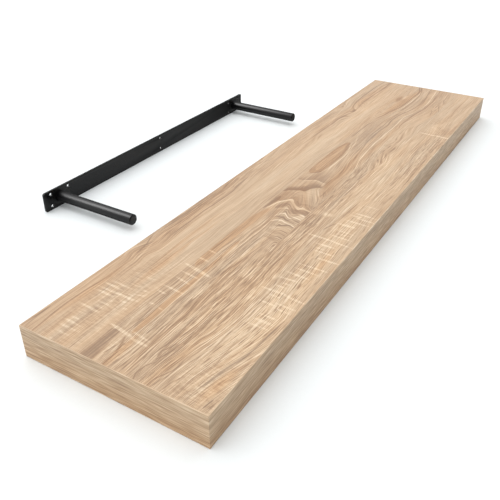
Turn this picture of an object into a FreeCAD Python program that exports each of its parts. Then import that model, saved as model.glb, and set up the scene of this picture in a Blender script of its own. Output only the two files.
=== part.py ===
import FreeCAD, Part
import math
import os

import Sketcher

# Floating wall shelf: a hollow-core board that is pushed onto a two-rod steel bracket.
#
# Frame: the origin is the centre of the bracket plate's wall face, +Y points into the wall,
# +X runs along the shelf and +Z is up. The bracket stands at the wall, and the board is
# drawn off its rods by board_gap, ready to be pushed home along +Y. Millimetres.

doc = FreeCAD.newDocument("wall_shelf")

# ---------------------------------------------------------------- driving dimensions
SIZES = [
    # the board
    ("board_length", 1000, "overall length, edge bands included"),
    ("board_depth", 235, "overall depth, front edge band included"),
    ("board_thickness", 42, "overall thickness"),
    ("board_gap", 213, "clear distance from the wall to the board's back edge"),
    ("panel_thickness", 3, "fibreboard skins above and below"),
    ("band_thickness", 1, "edge bands on the front and on both ends"),
    ("band_arris", 0.5, "radius on the outer corners of an edge band"),
    ("front_rail_width", 30, "chipboard rail behind the front edge"),
    ("end_rail_width", 30, "chipboard rail behind each end"),
    ("back_rail_width", 44, "chipboard rail along the back, seat included"),
    ("bearer_width", 60, "chipboard block round each rod"),
    ("cell_side", 15, "side of a honeycomb cell"),
    ("paper_thickness", 0.4, "honeycomb paper"),
    # the bracket
    ("plate_length", 545, "steel flat against the wall"),
    ("plate_thickness", 3, "steel flat"),
    ("plate_corner", 3, "radius of the plate's corners"),
    ("rod_diameter", 16, "round steel bar"),
    ("rod_reach", 144, "from the wall to the rod's tip"),
    ("rod_end_distance", 31, "from the plate's end to a rod's axis"),
    ("rod_chamfer", 1.2, "on the rod's tip"),
    ("spigot_diameter", 10, "turned end of a rod, through the plate"),
    ("weld_depth", 1.5, "countersink on the wall side, filled with weld and ground flush"),
    ("screw_hole_diameter", 5, "holes for the wall screws"),
    ("screw_rod_distance", 17.5, "from a rod's axis to its screw holes, along the plate"),
    ("screw_edge_distance", 5.5, "from the plate's long edges to the screw holes"),
    # the fit of one on the other
    ("plate_clearance", 3, "above and below the plate, in the board's seat"),
    ("seat_end_clearance", 2, "beyond each end of the plate"),
    ("seat_depth_clearance", 1, "in front of the plate"),
    ("rod_clearance", 0.3, "between a rod and its socket, on the radius"),
    ("tip_clearance", 4, "between a rod's tip and the end of its socket"),
    ("spigot_clearance", 0.1, "between a spigot and the plate, on the radius"),
]

sheet = doc.addObject("Spreadsheet::Sheet", "Sizes")
for row, (alias, number, note) in enumerate(SIZES, start=1):
    sheet.set(f"A{row}", alias)
    sheet.set(f"B{row}", str(number))
    sheet.set(f"C{row}", note)
    sheet.setAlias(f"B{row}", alias)
doc.recompute()

# Sizes that follow from the driving ones, as expressions on the sheet's cells.
CORE_HEIGHT = "(Sizes.board_thickness - 2 * Sizes.panel_thickness)"
CORE_LENGTH = "(Sizes.board_length - 2 * Sizes.band_thickness)"
CORE_DEPTH = "(Sizes.board_depth - Sizes.band_thickness)"
BAY_DEPTH = f"({CORE_DEPTH} - Sizes.front_rail_width - Sizes.back_rail_width)"
BAY_BACK = "(-Sizes.board_gap - Sizes.back_rail_width)"
BAY_FRONT = f"({BAY_BACK} - {BAY_DEPTH})"
PLATE_HEIGHT = f"({CORE_HEIGHT} - 2 * Sizes.plate_clearance)"
SEAT_LENGTH = "(Sizes.plate_length + 2 * Sizes.seat_end_clearance)"
SEAT_DEPTH = "(Sizes.plate_thickness + Sizes.seat_depth_clearance)"
ROD_X = "(Sizes.plate_length / 2 - Sizes.rod_end_distance)"
SOCKET_DIAMETER = "(Sizes.rod_diameter + 2 * Sizes.rod_clearance)"
SOCKET_DEPTH = "(Sizes.rod_reach + Sizes.tip_clearance)"
SPIGOT_HOLE = "(Sizes.spigot_diameter + 2 * Sizes.spigot_clearance)"
SCREW_Z = f"({PLATE_HEIGHT} / 2 - Sizes.screw_edge_distance)"

SIDES = {"left": -1, "right": 1}
sub_parts = []


def size(expression):
    """The number, in millimetres, that an expression on the sheet comes to."""
    return float(sheet.evalExpression(expression))


# ---------------------------------------------------------------- common steps
def new_body(label):
    """An empty PartDesign body, counted among the sub-parts."""
    body = doc.addObject("PartDesign::Body", label)
    body.Label = label
    sub_parts.append(body)
    return body


def place(item, x="0", y="0", z="0"):
    """Tie an object's position to the sheet."""
    for axis, expression in (("x", x), ("y", y), ("z", z)):
        item.setExpression(f"Placement.Base.{axis}", expression)


def origin_plane(body, role):
    return next(item for item in body.Origin.OriginFeatures if item.Role == role)


def new_sketch(body, name, role):
    """A sketch on one of the body's own origin planes."""
    sketch = body.newObject("Sketcher::SketchObject", f"{body.Name}_{name}")
    sketch.AttachmentSupport = [(origin_plane(body, role), "")]
    sketch.MapMode = "FlatFace"
    return sketch


def dimension(sketch, name, expression, *constraint):
    """A dimension of a sketch, tied to the sheet."""
    index = sketch.addConstraint(Sketcher.Constraint(*constraint, size(expression)))
    sketch.renameConstraint(index, name)
    sketch.setExpression(f"Constraints.{name}", expression)


def outline(sketch, corners):
    """A closed run of lines through the corners, joined end to end."""
    points = [FreeCAD.Vector(x, y, 0) for x, y in corners]
    first = sketch.GeometryCount
    count = len(points)
    for index in range(count):
        sketch.addGeometry(Part.LineSegment(points[index], points[(index + 1) % count]), False)
    for index in range(count):
        following = first + (index + 1) % count
        sketch.addConstraint(Sketcher.Constraint("Coincident", first + index, 2, following, 1))
    return first


def rectangle(sketch, width, height):
    """A rectangle centred on the sketch's origin."""
    x, y = size(width) / 2, size(height) / 2
    first = outline(sketch, [(-x, -y), (x, -y), (x, y), (-x, y)])
    for index in (0, 2):
        sketch.addConstraint(Sketcher.Constraint("Horizontal", first + index))
        sketch.addConstraint(Sketcher.Constraint("Vertical", first + index + 1))
    sketch.addConstraint(Sketcher.Constraint("Symmetric", first, 1, first + 1, 2, -1, 1))
    dimension(sketch, "width", width, "DistanceX", first, 1, first, 2)
    dimension(sketch, "height", height, "DistanceY", first + 1, 1, first + 1, 2)


def circle(sketch, diameter):
    """A circle centred on the sketch's origin."""
    ring = Part.Circle(FreeCAD.Vector(), FreeCAD.Vector(0, 0, 1), size(diameter) / 2)
    index = sketch.addGeometry(ring, False)
    sketch.addConstraint(Sketcher.Constraint("Coincident", index, 3, -1, 1))
    dimension(sketch, "diameter", diameter, "Diameter", index)


def pad(body, sketch, length):
    """Push a sketch out along its normal."""
    feature = body.newObject("PartDesign::Pad", f"{body.Name}_pad")
    feature.Profile = sketch
    feature.setExpression("Length", length)
    sketch.Visibility = False
    doc.recompute()
    return feature


def pocket(body, sketch, name, depth):
    """Cut a sketch into the body along the sketch's normal, as deep as stated."""
    before = body.Shape.Volume
    feature = body.newObject("PartDesign::Pocket", f"{body.Name}_{name}")
    feature.Profile = sketch
    feature.Reversed = True
    feature.setExpression("Length", depth)
    doc.recompute()
    must_cut(body, name, before)
    return feature


def mirrored(body, feature, name):
    """Repeat a feature on the other side of the body's YZ plane."""
    before = body.Shape.Volume
    mirror = body.newObject("PartDesign::Mirrored", f"{body.Name}_{name}")
    mirror.Originals = [feature]
    mirror.MirrorPlane = (origin_plane(body, "YZ_Plane"), [""])
    body.Tip = mirror
    doc.recompute()
    must_cut(body, name, before)
    return mirror


def must_cut(body, name, before):
    if not body.Shape.Volume < before:
        raise RuntimeError(f"{name} of {body.Label} cut nothing")


def fillet(body, base, name, radius, wanted):
    """Round those edges of a feature that the test picks."""
    edges = [f"Edge{number}" for number, edge in enumerate(base.Shape.Edges, start=1) if wanted(edge)]
    feature = body.newObject("PartDesign::Fillet", f"{body.Name}_{name}")
    feature.Base = (base, edges)
    feature.setExpression("Radius", radius)
    doc.recompute()
    return feature


def block(label, length, width, height, x, y, z):
    """A plain rectangular piece, from its lowest corner."""
    box = doc.addObject("Part::Box", label)
    box.Label = label
    box.setExpression("Length", length)
    box.setExpression("Width", width)
    box.setExpression("Height", height)
    place(box, x, y, z)
    sub_parts.append(box)
    return box


# ---------------------------------------------------------------- bracket: wall plate
def runs_along(direction):
    """A test for straight edges along one direction."""
    def test(edge):
        ends = edge.Vertexes
        along = ends[-1].Point.sub(ends[0].Point)
        return len(ends) == 2 and along.cross(direction).Length < 1e-6
    return test


def make_wall_plate():
    """Steel flat with rounded corners, ten screw holes and two countersunk spigot holes."""
    body = new_body("wall_plate")
    face = new_sketch(body, "face", "XZ_Plane")
    rectangle(face, "Sizes.plate_length", PLATE_HEIGHT)
    flat = pad(body, face, "Sizes.plate_thickness")
    fillet(body, flat, "corners", "Sizes.plate_corner", runs_along(FreeCAD.Vector(0, 1, 0)))

    group = new_sketch(body, "screw_group", "XZ_Plane")
    group.setExpression("AttachmentOffset.Base.x", ROD_X)
    screw_circles(group, [(1, 1), (-1, 1), (-1, -1), (1, -1)])
    holes = pocket(body, group, "screw_holes", "Sizes.plate_thickness")
    mirrored(body, holes, "screw_holes_mirrored")

    middle = new_sketch(body, "screw_middle", "XZ_Plane")
    screw_circles(middle, [(0, 1), (0, -1)])
    pocket(body, middle, "screw_holes_middle", "Sizes.plate_thickness")

    spigot = new_sketch(body, "spigot", "XZ_Plane")
    spigot.setExpression("AttachmentOffset.Base.x", ROD_X)
    circle(spigot, SPIGOT_HOLE)
    doc.recompute()
    before = body.Shape.Volume
    hole = body.newObject("PartDesign::Hole", "wall_plate_spigot_hole")
    hole.Profile = spigot
    doc.recompute()
    hole.Reversed = True
    hole.setExpression("Diameter", SPIGOT_HOLE)
    hole.DepthType = "ThroughAll"
    hole.HoleCutType = "Countersink"
    hole.HoleCutCustomValues = True
    hole.HoleCutCountersinkAngle = 90
    hole.setExpression("HoleCutDiameter", f"{SPIGOT_HOLE} + 2 * Sizes.weld_depth")
    doc.recompute()
    must_cut(body, "spigot_hole", before)
    mirrored(body, hole, "spigot_holes_mirrored")


def screw_circles(sketch, places):
    """Screw holes at like distances from the sketch's origin; each place is a pair of signs."""
    across = size("Sizes.screw_rod_distance")
    up = size(SCREW_Z)
    radius = size("Sizes.screw_hole_diameter") / 2
    origin = (-1, 1)
    for number, (x_sign, z_sign) in enumerate(places):
        centre = FreeCAD.Vector(x_sign * across, z_sign * up, 0)
        ring = sketch.addGeometry(Part.Circle(centre, FreeCAD.Vector(0, 0, 1), radius), False)
        if number:
            sketch.addConstraint(Sketcher.Constraint("Equal", 0, ring))
        else:
            dimension(sketch, "diameter", "Sizes.screw_hole_diameter", "Diameter", ring)
        across_to = (x_sign, "DistanceX", f"across_{number}", "Sizes.screw_rod_distance")
        up_to = (z_sign, "DistanceY", f"up_{number}", SCREW_Z)
        for sign, kind, name, expression in (across_to, up_to):
            if sign > 0:
                dimension(sketch, name, expression, kind, *origin, ring, 3)
            elif sign < 0:
                dimension(sketch, name, expression, kind, ring, 3, *origin)
            else:
                sketch.addConstraint(Sketcher.Constraint("PointOnObject", ring, 3, -2))
    doc.recompute()


# ---------------------------------------------------------------- bracket: rods and welds
def turned(label, profile):
    """A piece turned about the Y axis: profile gives (radius, y) pairs as expressions."""
    body = new_body(label)
    sketch = new_sketch(body, "profile", "XY_Plane")
    first = outline(sketch, [(size(radius), size(y)) for radius, y in profile])
    origin = (-1, 1)
    for index, (radius, y) in enumerate(profile):
        point = (first + index, 1)
        if size(radius) == 0:
            sketch.addConstraint(Sketcher.Constraint("PointOnObject", *point, -2))
        else:
            dimension(sketch, f"radius_{index}", radius, "DistanceX", *origin, *point)
        if size(y) == 0:
            sketch.addConstraint(Sketcher.Constraint("PointOnObject", *point, -1))
        else:
            dimension(sketch, f"along_{index}", f"-({y})", "DistanceY", *point, *origin)
    revolution = body.newObject("PartDesign::Revolution", f"{body.Name}_revolution")
    revolution.Profile = sketch
    revolution.ReferenceAxis = (sketch, ["V_Axis"])
    revolution.Angle = 360
    sketch.Visibility = False
    doc.recompute()
    return body


def make_rods():
    """Round bars with a turned spigot that goes through the plate and a chamfered tip."""
    spigot = "Sizes.spigot_diameter / 2"
    shaft = "Sizes.rod_diameter / 2"
    shoulder = "-Sizes.plate_thickness"
    tip = "-Sizes.rod_reach"
    for side, sign in SIDES.items():
        profile = [("0", "0"), (spigot, "0"), (spigot, shoulder), (shaft, shoulder),
                   (shaft, f"{tip} + Sizes.rod_chamfer"), (f"{shaft} - Sizes.rod_chamfer", tip), ("0", tip)]
        rod = turned(f"rod_{side}", profile)
        place(rod, x=f"{sign} * {ROD_X}")


def make_welds():
    """Rings of weld that fill the plate's countersinks round the spigots, ground flush."""
    spigot = "Sizes.spigot_diameter / 2"
    hole = f"{SPIGOT_HOLE} / 2"
    for side, sign in SIDES.items():
        profile = [(spigot, "0"), (f"{hole} + Sizes.weld_depth", "0"),
                   (hole, "-Sizes.weld_depth"), (spigot, "-Sizes.weld_depth")]
        ring = turned(f"weld_ring_{side}", profile)
        place(ring, x=f"{sign} * {ROD_X}")


# ---------------------------------------------------------------- board: skins and edge bands
def make_panels():
    """Fibreboard skins that run under the edge bands and back to the wall."""
    x = f"-{CORE_LENGTH} / 2"
    y = f"-Sizes.board_gap - {CORE_DEPTH}"
    block("top_panel", CORE_LENGTH, CORE_DEPTH, "Sizes.panel_thickness", x, y, f"{CORE_HEIGHT} / 2")
    block("bottom_panel", CORE_LENGTH, CORE_DEPTH, "Sizes.panel_thickness", x, y,
          "-Sizes.board_thickness / 2")


def on_outer_face(axis, level):
    """A test for edges that lie wholly in one face across the axis."""
    def test(edge):
        return all(abs(getattr(vertex.Point, axis) - level) < 1e-6 for vertex in edge.Vertexes)
    return test


def make_front_band():
    """Edge band over the full front, with all four outer edges eased."""
    body = new_body("front_edge_band")
    face = new_sketch(body, "face", "XZ_Plane")
    rectangle(face, "Sizes.board_length", "Sizes.board_thickness")
    strip = pad(body, face, "Sizes.band_thickness")
    fillet(body, strip, "arris", "Sizes.band_arris", on_outer_face("y", -size("Sizes.band_thickness")))
    place(body, y=f"-Sizes.board_gap - {CORE_DEPTH}")


def make_end_bands():
    """Edge bands over both ends, from the wall to the front band, with eased long edges."""
    for side, sign in SIDES.items():
        body = new_body(f"{side}_edge_band")
        face = new_sketch(body, "face", "YZ_Plane")
        rectangle(face, CORE_DEPTH, "Sizes.board_thickness")
        strip = pad(body, face, "Sizes.band_thickness")
        outer = on_outer_face("x", size("Sizes.band_thickness"))
        along = runs_along(FreeCAD.Vector(0, 1, 0))
        fillet(body, strip, "arris", "Sizes.band_arris", lambda edge: outer(edge) and along(edge))
        if sign < 0:
            turned_round = FreeCAD.Rotation(FreeCAD.Vector(0, 0, 1), 180)
            body.Placement = FreeCAD.Placement(FreeCAD.Vector(), turned_round)
        place(body, x=f"{sign} * {CORE_LENGTH} / 2", y=f"-Sizes.board_gap - {CORE_DEPTH} / 2")


# ---------------------------------------------------------------- board: chipboard frame
def make_rails():
    """Front rail over the full length, end rails between it and the back rail."""
    bottom = f"-{CORE_HEIGHT} / 2"
    block("front_rail", CORE_LENGTH, "Sizes.front_rail_width", CORE_HEIGHT,
          f"-{CORE_LENGTH} / 2", f"-Sizes.board_gap - {CORE_DEPTH}", bottom)
    inner = f"({CORE_LENGTH} / 2 - Sizes.end_rail_width)"
    for side, x in (("left", f"-{CORE_LENGTH} / 2"), ("right", inner)):
        block(f"end_rail_{side}", "Sizes.end_rail_width", BAY_DEPTH, CORE_HEIGHT, x, BAY_FRONT, bottom)


def make_back_rail():
    """Rail along the back, milled out for the plate and bored through for the rods."""
    body = new_body("back_rail")
    face = new_sketch(body, "face", "XZ_Plane")
    rectangle(face, CORE_LENGTH, CORE_HEIGHT)
    pad(body, face, "Sizes.back_rail_width")
    seat = new_sketch(body, "seat", "XZ_Plane")
    rectangle(seat, SEAT_LENGTH, CORE_HEIGHT)
    pocket(body, seat, "plate_seat", SEAT_DEPTH)
    bore = new_sketch(body, "bore", "XZ_Plane")
    bore.setExpression("AttachmentOffset.Base.x", ROD_X)
    circle(bore, SOCKET_DIAMETER)
    through = pocket(body, bore, "rod_bore", "Sizes.back_rail_width")
    mirrored(body, through, "rod_bore_mirrored")
    place(body, y="-Sizes.board_gap")


def make_bearers():
    """Blocks from rail to rail that carry the rods in blind bores."""
    for side, sign in SIDES.items():
        body = new_body(f"bearer_{side}")
        face = new_sketch(body, "face", "XZ_Plane")
        rectangle(face, "Sizes.bearer_width", CORE_HEIGHT)
        pad(body, face, BAY_DEPTH)
        bore = new_sketch(body, "bore", "XZ_Plane")
        circle(bore, SOCKET_DIAMETER)
        pocket(body, bore, "socket", f"{SOCKET_DEPTH} - Sizes.back_rail_width")
        place(body, x=f"{sign} * {ROD_X}", y=BAY_BACK)


# ---------------------------------------------------------------- board: honeycomb core
def make_ribbon(centre_x, swing, sign, thickness, front, back, half_waves, height):
    """One paper ribbon: a wave of flats and slants from front to back, standing on edge.

    A third of each half wave is slant. Where a flat meets a slant, the two faces of the
    paper turn at a mitre, so they stay the paper's thickness apart.
    """
    pitch = (back - front) / half_waves
    slant = pitch / 3
    mitre = thickness / 2 * math.tan(math.atan2(2 * swing, slant) / 2)

    def face_line(offset):
        level = sign
        points = [(centre_x + level * swing + offset, front)]
        for crossing in range(1, half_waves):
            y = front + crossing * pitch
            shift = math.copysign(mitre, offset) * level
            points.append((centre_x + level * swing + offset, y - slant / 2 + shift))
            level = -level
            points.append((centre_x + level * swing + offset, y + slant / 2 + shift))
        points.append((centre_x + level * swing + offset, back))
        return points

    rim = face_line(thickness / 2) + face_line(-thickness / 2)[::-1]
    corners = [FreeCAD.Vector(x, y, 0) for x, y in rim]
    return Part.Face(Part.makePolygon(corners + corners[:1])).extrude(FreeCAD.Vector(0, 0, height))


def make_honeycomb(label, left, right):
    """Expanded paper honeycomb that fills one bay of the frame, its ribbons glued flat to flat."""
    thickness = size("Sizes.paper_thickness")
    side = size("Sizes.cell_side")
    width = right - left
    depth = size(BAY_DEPTH)
    half_waves = max(2, round(depth / (1.5 * side)))
    ribbons = max(2, round(width / (side * math.sin(math.radians(60)))))
    pitch = width / ribbons
    swing = (pitch - thickness) / 2
    walls = [make_ribbon(pitch * (number + 0.5), swing, (-1) ** number, thickness,
                         0, depth, half_waves, size(CORE_HEIGHT)) for number in range(ribbons)]
    core = doc.addObject("Part::Feature", label)
    core.Label = label
    core.Shape = walls[0].multiFuse(walls[1:]).removeSplitter()
    core.Placement = FreeCAD.Placement(FreeCAD.Vector(left, size(BAY_FRONT), -size(CORE_HEIGHT) / 2),
                                       FreeCAD.Rotation())
    sub_parts.append(core)


def make_honeycombs():
    """Three bays: between the end rails and the bearers, and between the bearers."""
    outer = size(f"{CORE_LENGTH} / 2 - Sizes.end_rail_width")
    bearer_outside = size(f"{ROD_X} + Sizes.bearer_width / 2")
    bearer_inside = size(f"{ROD_X} - Sizes.bearer_width / 2")
    make_honeycomb("honeycomb_left", -outer, -bearer_outside)
    make_honeycomb("honeycomb_centre", -bearer_inside, bearer_inside)
    make_honeycomb("honeycomb_right", bearer_outside, outer)


make_wall_plate()
make_rods()
make_welds()
make_panels()
make_front_band()
make_end_bands()
make_rails()
make_back_rail()
make_bearers()
make_honeycombs()
doc.recompute()

# ---------------------------------------------------------------- checks and export
for item in doc.Objects:
    if "Invalid" in item.State or "Error" in item.State:
        raise RuntimeError(f"{item.Label} did not compute: {item.State}")
for item in sub_parts:
    if item.Shape.isNull() or not item.Shape.isValid() or len(item.Shape.Solids) != 1:
        raise RuntimeError(f"{item.Label} has no valid solid")

os.makedirs("parts", exist_ok=True)
for item in sub_parts:
    item.Shape.exportStep(f"parts/{item.Label}.step")
    box = item.Shape.BoundBox
    print(f"{item.Label:18s} {item.Shape.Volume:12.1f} mm3  x {box.XMin:8.2f} {box.XMax:8.2f}"
          f"  y {box.YMin:8.2f} {box.YMax:8.2f}  z {box.ZMin:7.2f} {box.ZMax:7.2f}")
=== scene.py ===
import bpy
import math
from mathutils import Matrix, Vector


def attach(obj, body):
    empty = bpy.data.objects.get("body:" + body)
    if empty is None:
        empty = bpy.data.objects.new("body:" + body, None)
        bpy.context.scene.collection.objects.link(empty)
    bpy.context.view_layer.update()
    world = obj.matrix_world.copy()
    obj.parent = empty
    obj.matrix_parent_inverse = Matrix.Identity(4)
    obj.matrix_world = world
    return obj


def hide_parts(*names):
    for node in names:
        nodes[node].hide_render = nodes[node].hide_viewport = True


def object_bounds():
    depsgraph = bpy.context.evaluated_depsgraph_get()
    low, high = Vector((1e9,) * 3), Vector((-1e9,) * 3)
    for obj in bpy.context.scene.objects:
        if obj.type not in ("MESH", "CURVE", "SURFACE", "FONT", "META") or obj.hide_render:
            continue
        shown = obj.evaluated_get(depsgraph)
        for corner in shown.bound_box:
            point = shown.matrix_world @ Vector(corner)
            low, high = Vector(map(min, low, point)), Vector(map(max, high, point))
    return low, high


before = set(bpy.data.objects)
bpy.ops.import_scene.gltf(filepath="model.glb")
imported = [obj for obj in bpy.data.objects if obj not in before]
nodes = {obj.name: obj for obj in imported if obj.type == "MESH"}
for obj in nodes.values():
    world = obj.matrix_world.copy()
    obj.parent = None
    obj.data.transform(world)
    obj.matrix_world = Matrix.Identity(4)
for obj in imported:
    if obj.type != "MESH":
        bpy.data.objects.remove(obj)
cad_low, cad_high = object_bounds()
scene = bpy.context.scene

# ================================================================ viewpoint
# A short standard lens, held a little above the shelf and off its left end, looks down the
# length of the board.
camera = bpy.data.objects.new("viewpoint", bpy.data.cameras.new("viewpoint"))
scene.collection.objects.link(camera)
camera.data.sensor_width = 36
camera.data.lens = 43.84
camera.data.clip_start = 0.02
eye_point = (-0.79616, -0.66386, 0.42065)
heading, tilt, roll = math.radians(30.74), math.radians(32.27), math.radians(0.48)
camera.matrix_world = (Matrix.Translation(eye_point)
                       @ Matrix.Rotation(heading - math.pi / 2, 4, "Z")
                       @ Matrix.Rotation(math.pi / 2 - tilt, 4, "X")
                       @ Matrix.Rotation(roll, 4, "Z"))
scene.camera = camera
scene.view_settings.view_transform = "Standard"


# ================================================================ studio floor
# Matt white background paper laid out wide, so that its white runs on past every edge of the
# view. Behind the board it rises as far as the bracket's plate, which stands on it on edge.
def clear_selection():
    """Nothing is selected."""
    bpy.ops.object.select_all(action="DESELECT")


def linear(hex_colour):
    """An sRGB hex value as linear red, green and blue, with alpha."""
    channels = [int(hex_colour[i:i + 2], 16) / 255 for i in (1, 3, 5)]
    return [c / 12.92 if c <= 0.04045 else ((c + 0.055) / 1.055) ** 2.4 for c in channels] + [1]


def add(tree, kind, *inputs, out=0, points=(), stops=(), **settings):
    """Add a node and give one output. Inputs come in order, or by name with a capital letter.

    Points shape a curve node and stops a colour ramp; other settings are the node's own.
    """
    node = tree.nodes.new("ShaderNode" + kind)
    sockets = dict(enumerate(inputs))
    for name, value in settings.items():
        if name[0].isupper():
            sockets[name.replace("_", " ")] = value
        else:
            setattr(node, name, value)
    for key, value in sockets.items():
        if isinstance(value, bpy.types.NodeSocket):
            tree.links.new(value, node.inputs[key])
        elif value is not None:
            node.inputs[key].default_value = value
    if points:
        node.mapping.use_clip = False
        node.mapping.extend = "HORIZONTAL"
        curve = node.mapping.curves[0].points
        while len(curve) < len(points):
            curve.new(0.5, 0.5)
        for point, (x, y) in zip(curve, points):
            point.location = (x, y)
            point.handle_type = "AUTO_CLAMPED"
        node.mapping.update()
    if stops:
        ramp = node.color_ramp.elements
        while len(ramp) < len(stops):
            ramp.new(0.5)
        for stop, (position, colour) in zip(ramp, stops):
            stop.position = position
            stop.color = linear(colour)
    return node.outputs[out]


def new_material(name):
    """A material with an empty node tree."""
    made = bpy.data.materials.new(name)
    made.use_nodes = True
    made.node_tree.nodes.clear()
    return made, made.node_tree


def close(tree, **inputs):
    """Finish a material with one shader and the output."""
    shader = add(tree, "BsdfPrincipled", **inputs)
    tree.links.new(shader, tree.nodes.new("ShaderNodeOutputMaterial").inputs["Surface"])


def dress(piece, material):
    """Give a piece one material."""
    piece.data.materials.clear()
    piece.data.materials.append(material)


def box_of(node):
    """The lowest and the highest corner of a CAD node."""
    spots = [vertex.co for vertex in nodes[node].data.vertices]
    return [Vector([choose(spot[axis] for spot in spots) for axis in range(3)])
            for choose in (min, max)]


plate_low, plate_high = box_of("wall_plate")
board_back = box_of("top_panel")[1].y
paper_size, paper_rows, paper_middle, paper_gap = 9.0, 1800, -0.2, 0.0001
paper_rise, rise_start, rise_end = plate_low.z - cad_low.z, board_back, -0.125
paper_spread, kept_reach = 10, 2
clear_selection()
bpy.ops.mesh.primitive_grid_add(x_subdivisions=1, y_subdivisions=paper_rows, size=paper_size,
                                location=(0, paper_middle, cad_low.z - paper_gap))
floor = bpy.context.object
floor.name = "background_paper"
bpy.ops.object.transform_apply(location=True, rotation=True, scale=True)
for vertex in floor.data.vertices:
    part = min(1, max(0, (vertex.co.y - rise_start) / (rise_end - rise_start)))
    vertex.co.z += paper_rise * part * part * (3 - 2 * part)    # level at both ends of the rise
    vertex.co.x *= paper_spread
    beyond = abs(vertex.co.y) - kept_reach
    if beyond > 0:
        vertex.co.y *= 1 + (paper_spread - 1) * beyond / (paper_size / 2 - kept_reach)
bpy.ops.object.shade_smooth()

# Uncoated paper: an even dull white, with a barely visible mottle every 2.5 mm from its pulp.
paper, tree = new_material("matt_white_background_paper")
place = add(tree, "TexCoord", out=3)
mottle = add(tree, "TexNoise", place, Scale=400.0, Detail=3.0)
paper_white = add(tree, "MixRGB", mottle, linear("#f0f4f5"), linear("#f3f7f8"))
close(tree, Base_Color=paper_white, Roughness=0.95, Specular_IOR_Level=0.1)
dress(floor, paper)

# ================================================================ soft studio light
# A white surround, brightest behind the shelf and dim grey in front of it, with a soft light
# overhead. A strip light behind adds only gloss, above all the highlights along the rods.
world = bpy.data.worlds.new("studio_surround")
world.use_nodes = True
scene.world = world
tree = world.node_tree
brightest, level, dimmest = (0.19, 0.93, 0.48), 0.82, 0.16
surround = add(tree, "VectorMath", add(tree, "TexCoord"), brightest, out=1, operation="DOT_PRODUCT")
surround = add(tree, "Math", surround, level, operation="ADD")
surround = add(tree, "Math", surround, dimmest, operation="MAXIMUM")
tree.links.new(surround, tree.nodes["Background"].inputs["Strength"])
tree.nodes["Background"].inputs["Color"].default_value = (1, 1, 1, 1)

LAMPS = (
    # bearing, height and angle across in degrees, strength, whether it lights matt surfaces
    ("overhead_light", 180, 84, 32, 0.44, True),
    ("strip_light", 109, 48, 40, 3.0, False),
)
lamp_distance = 3
for name, bearing, height, spread, strength, matt in LAMPS:
    light = bpy.data.objects.new(name, bpy.data.lights.new(name, "SUN"))
    scene.collection.objects.link(light)
    light.data.energy = strength
    light.data.angle = math.radians(spread)
    light.visible_diffuse = matt
    source = Matrix.Rotation(math.radians(-height), 3, "Y") @ Vector((1, 0, 0))
    source = Matrix.Rotation(math.radians(bearing), 3, "Z") @ source
    light.rotation_mode = "QUATERNION"
    light.rotation_quaternion = (-source).to_track_quat("-Z", "Y")
    light.location = source * lamp_distance


# ================================================================ bracket: wall plate
# A length of 30 x 3 mm steel flat with rounded corners, drilled for ten wall screws and
# countersunk behind for the rods' welds. Blasted, then powder coated satin black.
def take(piece):
    """Only this piece is selected, and the operators act on it."""
    clear_selection()
    bpy.context.view_layer.objects.active = piece
    piece.select_set(True)


def pick(piece, kind, test):
    """Enter edit mode with only those edges (by their two ends) or faces (by centre and normal)
    selected that the test picks."""
    take(piece)
    bpy.ops.object.mode_set(mode="EDIT")
    bpy.ops.mesh.select_mode(type=kind)
    bpy.ops.mesh.select_all(action="DESELECT")
    bpy.ops.object.mode_set(mode="OBJECT")
    spots = piece.data.vertices
    if kind == "EDGE":
        for edge in piece.data.edges:
            edge.select = test(*[spots[i].co for i in edge.vertices])
    else:
        for face in piece.data.polygons:
            face.select = test(face.center, face.normal)
    bpy.ops.object.mode_set(mode="EDIT")


def apply_modifier(piece, kind, **settings):
    """Add a modifier and apply it."""
    take(piece)
    modifier = piece.modifiers.new(kind.lower(), kind)
    for name, value in settings.items():
        setattr(modifier, name, value)
    bpy.ops.object.modifier_apply(modifier=modifier.name)


def drill(piece, x, z, wide, narrow, depth, back):
    """Cut a round or conical hole along Y: wide at the back, narrow in front; diameters."""
    clear_selection()
    bpy.ops.mesh.primitive_cone_add(vertices=48, radius1=wide / 2, radius2=narrow / 2, depth=depth,
                                    location=(x, back - depth / 2, z), rotation=(math.pi / 2, 0, 0))
    cutter = bpy.context.object
    apply_modifier(piece, "BOOLEAN", operation="DIFFERENCE", object=cutter, solver="EXACT")
    bpy.data.objects.remove(cutter)


def soften(piece, radius, segments):
    """Round every sharp edge by a small radius and shade the rest smooth."""
    sharp = math.radians(35)
    apply_modifier(piece, "BEVEL", width=radius, segments=segments, limit_method="ANGLE",
                   angle_limit=sharp)
    take(piece)
    bpy.ops.object.shade_smooth_by_angle(angle=sharp)


plate_length, plate_thickness, plate_height = plate_high - plate_low
plate_corner, coat_radius, rod_inset = 0.003, 0.00025, 0.031
rod_x = plate_length / 2 - rod_inset
spigot_hole, weld_depth = 0.0102, -box_of("weld_ring_left")[0].y
screw_hole, screw_across, screw_up = 0.005, 0.0175, 0.0095
drill_length, drill_behind, drill_extra = 0.010, 0.003, 0.001
same_place = 1e-6

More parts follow.
